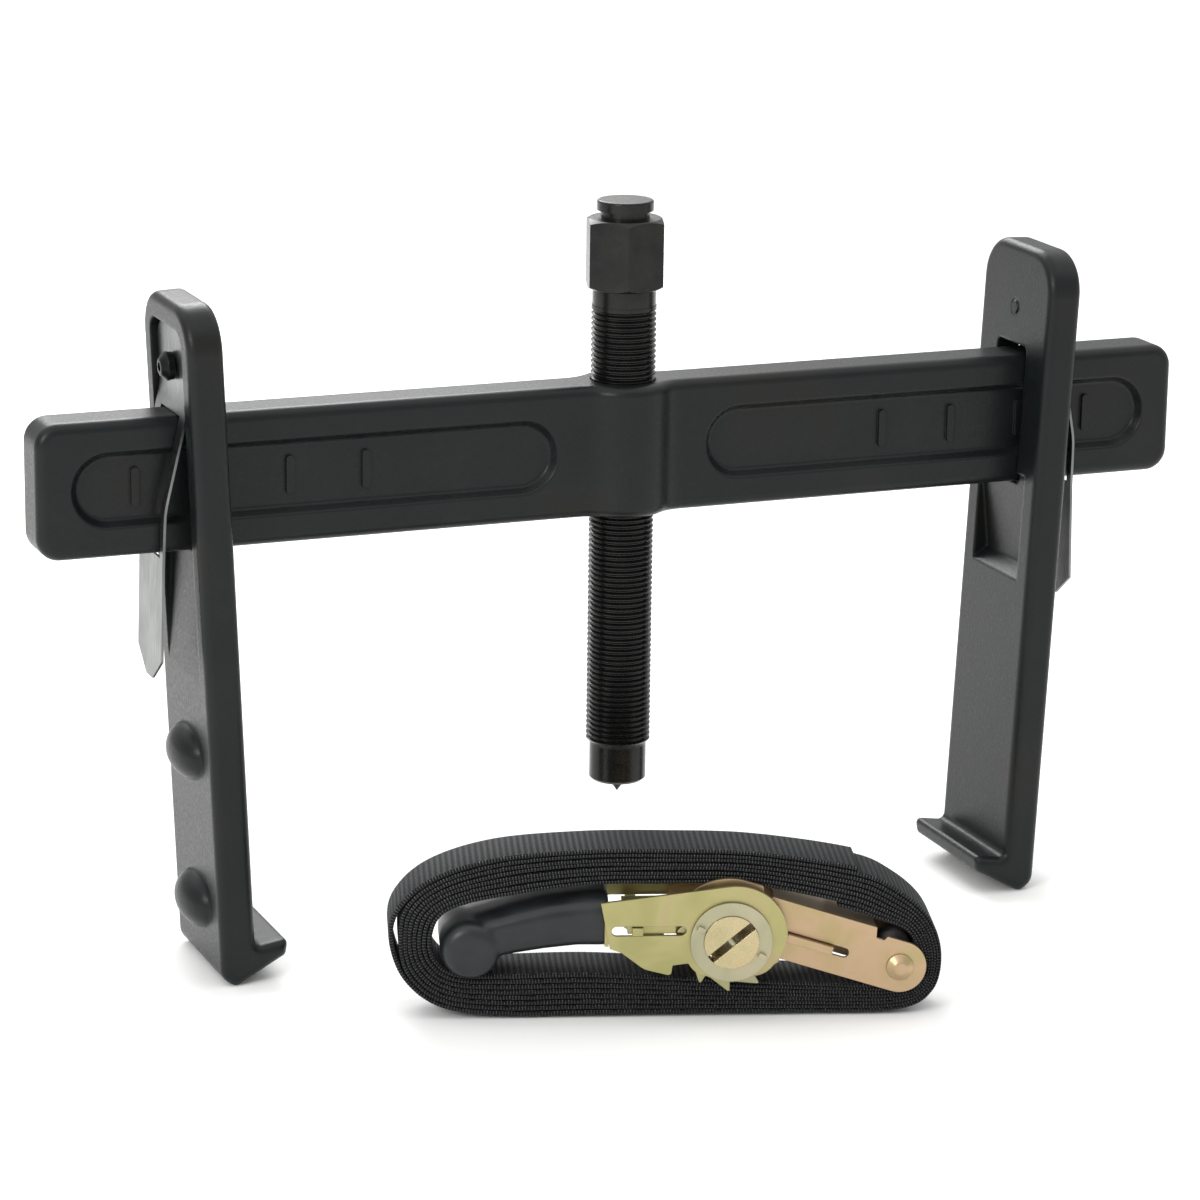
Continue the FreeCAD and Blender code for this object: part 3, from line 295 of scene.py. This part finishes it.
# ------------------------------------------------------------------ wound strap
# Stations round the coil, clockwise from the loose end: (outer x, z), (inner x, z), in mm.
STATIONS = [
    ((71, 57.8), (64, 43.6)), ((87, 50.4), (78, 38.8)), ((99, 38.8), (90.5, 33.2)),
    ((103.9, 24), (95.6, 22)), ((100.8, 9.0), (93.0, 13.2)), ((87, 1.4), (83, 11.8)),
    ((50, 0.9), (50, 13.0)), ((10, 0.9), (10, 15.4)), ((-30, 0.9), (-30, 17.8)),
    ((-62, 0.9), (-62, 17.6)), ((-85, 4.6), (-79, 18.4)), ((-98.8, 15.5), (-86.4, 23.4)),
    ((-104.4, 31), (-88.2, 31)), ((-101.8, 43.6), (-84.8, 40.4)), ((-89, 55.2), (-75, 45.2)),
    ((-65, 62.9), (-56, 48.4)), ((-32, 65.7), (-30, 51.8)), ((0, 65.6), (-2, 52.0)),
    ((33, 64.1), (30, 51.0)),
]
TURNS = 8
STEPS = 420  # points of the line in one turn
# where the layers spring apart and where they lie loose: the station at the middle, how many
# stations it reaches, and how far, as a share of the pile of layers
SPRUNG_AT, SPRUNG_REACH, SPRUNG = 12.2, 0.75, 0.15
LOOSE_AT, LOOSE_REACH, LOOSE = 16.5, 2.2, 0.022
WAVE_BY_TURN, WAVE_BY_STATION = 9.1, 1.3  # radians by which the loose layers' waves shift
FILL, THICKEST = 0.9, 1.9  # share of the layers' pitch that is webbing; its full thickness, mm
HALF_WIDE = 12.5
VALLEY = 0.86  # thickness between two ribs, as a share of that on a rib
# the strap's section, clockwise: share of its half width, share of its half thickness
SECTION = [(-1.0, 0.62), (-0.93, 1.0), (0.93, 1.0), (1.0, 0.62), (1.0, -0.62), (0.93, -1.0),
           (-0.93, -1.0), (-1.0, -0.62)]
ACROSS = [-12.5, -11.6, 11.6, 12.5, 13.6, 14.5, 37.7, 38.6]  # each corner's v, round the section
FLAT_SIDES = (1, 5)  # the section's edges that are the webbing's two faces


def smooth(points, at):
    """Point on the closed Catmull-Rom line through the points; at runs 0 to their number."""
    count = len(points)
    first, part = int(at) % count, at - int(at)
    p = [Vector(points[(first + k - 1) % count]) for k in range(4)]
    return 0.5 * ((2 * p[1]) + (p[2] - p[0]) * part
                  + (2 * p[0] - 5 * p[1] + 4 * p[2] - p[3]) * part ** 2
                  + (3 * p[1] - p[0] - 3 * p[2] + p[3]) * part ** 3)


def coil_line():
    """Centre line of the strap from its inner start out to its loose end, with its thickness."""
    outer, inner = [s[0] for s in STATIONS], [s[1] for s in STATIONS]
    line = []
    for i in range(TURNS * STEPS + 1):
        turn = i / STEPS
        at = (turn % 1) * len(STATIONS)
        far, close = smooth(outer, at), smooth(inner, at)
        layer = turn / TURNS
        # the last turn stands off the rest at the left end, and the top lies loose
        sprung = math.exp(-((at - SPRUNG_AT) / SPRUNG_REACH) ** 2)
        if turn < TURNS - 1:
            layer *= 1 - SPRUNG * sprung * layer
        loose = math.exp(-((at - LOOSE_AT) / LOOSE_REACH) ** 2)
        wave = math.sin(turn * WAVE_BY_TURN + at * WAVE_BY_STATION)
        layer += loose * LOOSE * wave * (1 - abs(2 * layer - 1))
        pitch = (far - close).length / TURNS
        line.append((close + (far - close) * layer, min(FILL * pitch, THICKEST)))
    return line


def make_wound_strap(finish_face, finish_edge):
    """Strip of webbing along the coil's line, ribbed, with rounded selvedges; and its length."""
    line = coil_line()
    run, along = 0.0, [0.0]
    for (a, _), (b, _) in zip(line, line[1:]):
        run += (b - a).length
        along.append(run)
    count = int(run / RIB_MM) * 2
    verts, faces, maps, kinds = [], [], [], []
    k = 0
    for i in range(count + 1):
        want = run * i / count
        while k < len(along) - 2 and along[k + 1] < want:
            k += 1
        part = (want - along[k]) / (along[k + 1] - along[k])
        spot = line[k][0].lerp(line[k + 1][0], part)
        thick = line[k][1] * (1 - part) + line[k + 1][1] * part
        way = (line[k + 1][0] - line[k][0]).normalized()
        out = Vector((-way.y, way.x))
        half = thick / 2 * (1.0 if i % 2 else VALLEY)
        for side, depth in SECTION:
            flat = spot + out * (depth * half)
            verts.append((flat.x * MM, side * HALF_WIDE * MM, flat.y * MM))
        maps.append(want)
    size = len(SECTION)
    for i in range(count):
        for j in range(size):
            a, b = i * size + j, i * size + (j + 1) % size
            faces.append((a, b, b + size, a + size))
            kinds.append(0 if j in FLAT_SIDES else 1)
    faces.append(tuple(range(size))[::-1])
    faces.append(tuple(range(count * size, count * size + size)))
    kinds += [1, 1]
    mesh = bpy.data.meshes.new("wound_strap")
    mesh.from_pydata(verts, [], faces)
    piece = bpy.data.objects.new("wound_strap", mesh)
    bpy.context.scene.collection.objects.link(piece)
    mesh.materials.append(finish_face)
    mesh.materials.append(finish_edge)
    weave = mesh.uv_layers.new(name="weave")
    for polygon, kind in zip(mesh.polygons, kinds):
        polygon.material_index = kind
        polygon.use_smooth = True
        for loop in polygon.loop_indices:
            vertex = mesh.loops[loop].vertex_index
            weave.data[loop].uv = (maps[vertex // size], ACROSS[vertex % size])
    mesh.transform(COIL)
    start_piece()
    bpy.context.view_layer.objects.active = piece
    piece.select_set(True)
    bpy.ops.object.mode_set(mode="EDIT")
    turn_faces_out()
    return piece, run


# the faces' ribs are drawn twice as coarse as they are woven, so that they show; their colour runs
# from painted shade between the ribs to painted highlights on them
strap_face_painted_rib_light = webbing("ribbed polyester webbing, face", 2 * RIB_MM,
                     [(0.15, "#0a0b0c"), (0.95, "#2b2e31")])
# the selvedge is near black with light grey specks where the weave stands highest: painted
# highlights
strap_selvedge_painted_highlights = webbing("ribbed polyester webbing, selvedge", RIB_MM,
                     [(0.2, "#040505"), (0.97, "#8a8b8c"), (0.72, "#141517")])
strap, strap_length = make_wound_strap(strap_face_painted_rib_light, strap_selvedge_painted_highlights)
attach(strap, "strap")
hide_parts("strap_webbing")
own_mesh(strap)
# the anchor loop wears the selvedge finish, painted highlights and all
loop_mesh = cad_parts["anchor_loop"].data
loop_mesh.materials.clear()
loop_mesh.materials.append(strap_selvedge_painted_highlights)


# ------------------------------------------------------------------ moulded grip
# x, middle z, half height and half depth, in mm, in the coil's own frame
GRIP_SECTIONS = [(-22.6, 38.6, 10.6, 17.1), (-34, 38.4, 10.2, 17.2), (-46, 37.0, 10.0, 17.2),
                 (-57, 34.9, 9.6, 17.0), (-66, 32.8, 9.2, 16.8), (-74, 30.6, 9.0, 16.6),
                 (-80, 29.4, 7.6, 15.6), (-83.6, 28.6, 4.6, 13.0)]
GRIP_ROUND = 0.62  # how far each corner of the section is rounded, as a share of half its side
KNOB_X, KNOB_Z, KNOB_RADIUS, KNOB_WIDE = -74.2, 28.4, 11.3, 38.6
DIP_GRAIN = 0.75  # mm; finest shape that the dip keeps


def make_grip(finish):
    """Vinyl grip lofted back from the handle plates and blended into its round cross knob."""
    start_piece()
    bpy.ops.mesh.primitive_plane_add(size=2, location=(0, 0, 0), rotation=(0, math.radians(-90), 0))
    body = bpy.context.active_object
    bpy.ops.object.transform_apply(location=False, rotation=True, scale=False)
    bpy.ops.object.mode_set(mode="EDIT")
    bpy.ops.mesh.select_all(action="SELECT")
    bpy.ops.mesh.bevel(offset=GRIP_ROUND, segments=5, affect="VERTICES")
    first = GRIP_SECTIONS[0]
    bpy.ops.transform.resize(value=(1, first[3] * MM, first[2] * MM), center_override=(0, 0, 0))
    bpy.ops.transform.translate(value=(first[0] * MM, 0, first[1] * MM))
    for here, there in zip(GRIP_SECTIONS, GRIP_SECTIONS[1:]):
        bpy.ops.mesh.extrude_region_move(TRANSFORM_OT_translate={
            "value": ((there[0] - here[0]) * MM, 0, (there[1] - here[1]) * MM)})
        bpy.ops.transform.resize(value=(1, there[3] / here[3], there[2] / here[2]),
                                 center_override=(there[0] * MM, 0, there[1] * MM))
    turn_faces_out()
    start_piece()
    bpy.ops.mesh.primitive_cylinder_add(vertices=48, radius=KNOB_RADIUS * MM, depth=KNOB_WIDE * MM,
                                        location=(KNOB_X * MM, 0, KNOB_Z * MM),
                                        rotation=(math.radians(90), 0, 0))
    knob = bpy.context.active_object
    bpy.ops.object.mode_set(mode="EDIT")
    bpy.ops.mesh.select_all(action="DESELECT")
    bpy.ops.mesh.select_face_by_sides(number=4, type="GREATER")
    bpy.ops.mesh.inset(thickness=0.9 * MM)
    bpy.ops.object.mode_set(mode="OBJECT")
    finish_with(knob, "BEVEL", width=7 * MM, segments=7, limit_method="ANGLE", profile=0.6)
    body.select_set(True)
    knob.select_set(True)
    bpy.context.view_layer.objects.active = body
    bpy.ops.object.join()
    finish_with(body, "REMESH", mode="VOXEL", voxel_size=DIP_GRAIN * MM)
    finish_with(body, "SMOOTH", factor=0.7, iterations=9)
    keep_piece(body, "moulded_grip", finish, COIL)
    for polygon in body.data.polygons:
        polygon.use_smooth = True
    return body


grip = make_grip(dipped_vinyl())
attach(grip, "ratchet_handle")
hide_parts("handle_grip")


# ------------------------------------------------------------------ pawl springs
WIRE_RADIUS, SPRING_RADIUS, SPRING_TURNS, END_GAP = 0.4, 2.0, 4, 0.15  # mm, but for the turns


def make_pawl_spring(name, finish, place, length_mm):
    """Coil standing on its seat, from there toward the pawl's tail."""
    start_piece()
    bpy.ops.mesh.primitive_circle_add(vertices=10, radius=WIRE_RADIUS * MM,
                                      location=(SPRING_RADIUS * MM, 0,
                                                (WIRE_RADIUS + END_GAP) * MM),
                                      rotation=(math.radians(90), 0, 0))
    piece = bpy.context.active_object
    bpy.ops.object.transform_apply(location=True, rotation=True, scale=True)
    finish_with(piece, "SCREW", iterations=SPRING_TURNS, steps=24, render_steps=24,
                screw_offset=(length_mm - 2 * (WIRE_RADIUS + END_GAP)) / SPRING_TURNS * MM)
    bpy.ops.object.mode_set(mode="EDIT")
    bpy.ops.mesh.select_all(action="SELECT")
    bpy.ops.mesh.fill_holes(sides=0)
    turn_faces_out()
    return keep_piece(piece, name, finish, place)


spring_wire = bpy.data.materials["rolled spring steel"]
TO_RIGHT, TO_LEFT = (Matrix.Rotation(math.radians(a), 4, "Y") for a in (90, -90))
HUB = Matrix.Translation((23 * MM, 0, 32.4 * MM))
RIVET = Matrix.Translation((87.4 * MM, 0, 19.8 * MM)) @ Matrix.Rotation(math.radians(17.5), 4, "Y")
DRIVE_SEAT = COIL @ HUB @ Matrix.Translation((-45.8 * MM, 0, 4.2 * MM)) @ TO_RIGHT
LOCK_SEAT = COIL @ RIVET @ Matrix.Translation((-15.5 * MM, 0, -0.8 * MM)) @ TO_LEFT
for node, body, joint, seat, length_mm, pressed in (
        ("drive_pawl_spring", "ratchet_handle", "drive_pawl_pull", DRIVE_SEAT, 7.1, 0.41),
        ("lock_pawl_spring", "strap", "lock_pawl_pull", LOCK_SEAT, 11.5, 0.64)):
    spring = make_pawl_spring("wound_" + node, spring_wire, seat, length_mm)
    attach(spring, body)
    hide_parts(node)
    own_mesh(spring)


# ------------------------------------------------------------------ camera, light and floor
AZIMUTH, ELEVATION, ROLL = (math.radians(a) for a in (-22.107, 15.058, 0.78))
AIM_X, AIM_Z = -8.373, 131.49  # mm, on the screw's own plane
DISTANCE = 1.7265
back = Vector((math.sin(AZIMUTH) * math.cos(ELEVATION), -math.cos(AZIMUTH) * math.cos(ELEVATION),
               math.sin(ELEVATION)))
level = Vector((math.cos(AZIMUTH), math.sin(AZIMUTH), 0))
rise = back.cross(level)
right = math.cos(ROLL) * level + math.sin(ROLL) * rise
up = -math.sin(ROLL) * level + math.cos(ROLL) * rise
eye = Vector((AIM_X * MM, SCREW_Y, AIM_Z * MM)) + back * DISTANCE
lens = bpy.data.cameras.new("camera")
lens.sensor_width, lens.lens = 36, 131.6
lens.clip_start, lens.clip_end = 0.05, 20
camera = bpy.data.objects.new("camera", lens)
camera.matrix_world = Matrix((right, up, back)).transposed().to_4x4()
camera.location = eye
bpy.context.scene.collection.objects.link(camera)
bpy.context.scene.camera = camera


def soft_light(name, spot, target, size, watts):
    """Square softbox aimed at a point."""
    lamp = bpy.data.lights.new(name, "AREA")
    lamp.shape, lamp.size, lamp.energy = "SQUARE", size, watts
    made = bpy.data.objects.new(name, lamp)
    made.location = spot
    made.rotation_mode = "QUATERNION"
    made.rotation_quaternion = (Vector(target) - Vector(spot)).to_track_quat("-Z", "Y")
    bpy.context.scene.collection.objects.link(made)


soft_light("overhead", (0, 1.2, 3.4), (0, 1.2, 0), 8.0, 150)
soft_light("rear_strip", (0.1, 1.2, 1.05), (0, 0.06, 0.18), 0.8, 13)
soft_light("front_left", (-1.6, -1.0, 1.1), (0, 0, 0.12), 0.6, 14)

paper = new_finish("white paper sweep", Roughness=0.9, Specular_IOR_Level=0.1,
                   Base_Color=linear("#fbfbfa"))
start_piece()
bpy.ops.mesh.primitive_plane_add(size=14, location=(0, 3, 0))
floor = bpy.context.active_object
keep_piece(floor, "floor", paper)

sky = bpy.data.worlds.new("white studio")
sky.use_nodes = True
sky.node_tree.nodes["Background"].inputs["Color"].default_value = (1, 1, 1, 1)
sky.node_tree.nodes["Background"].inputs["Strength"].default_value = 0.7
bpy.context.scene.world = sky
bpy.context.scene.view_settings.view_transform = "Standard"
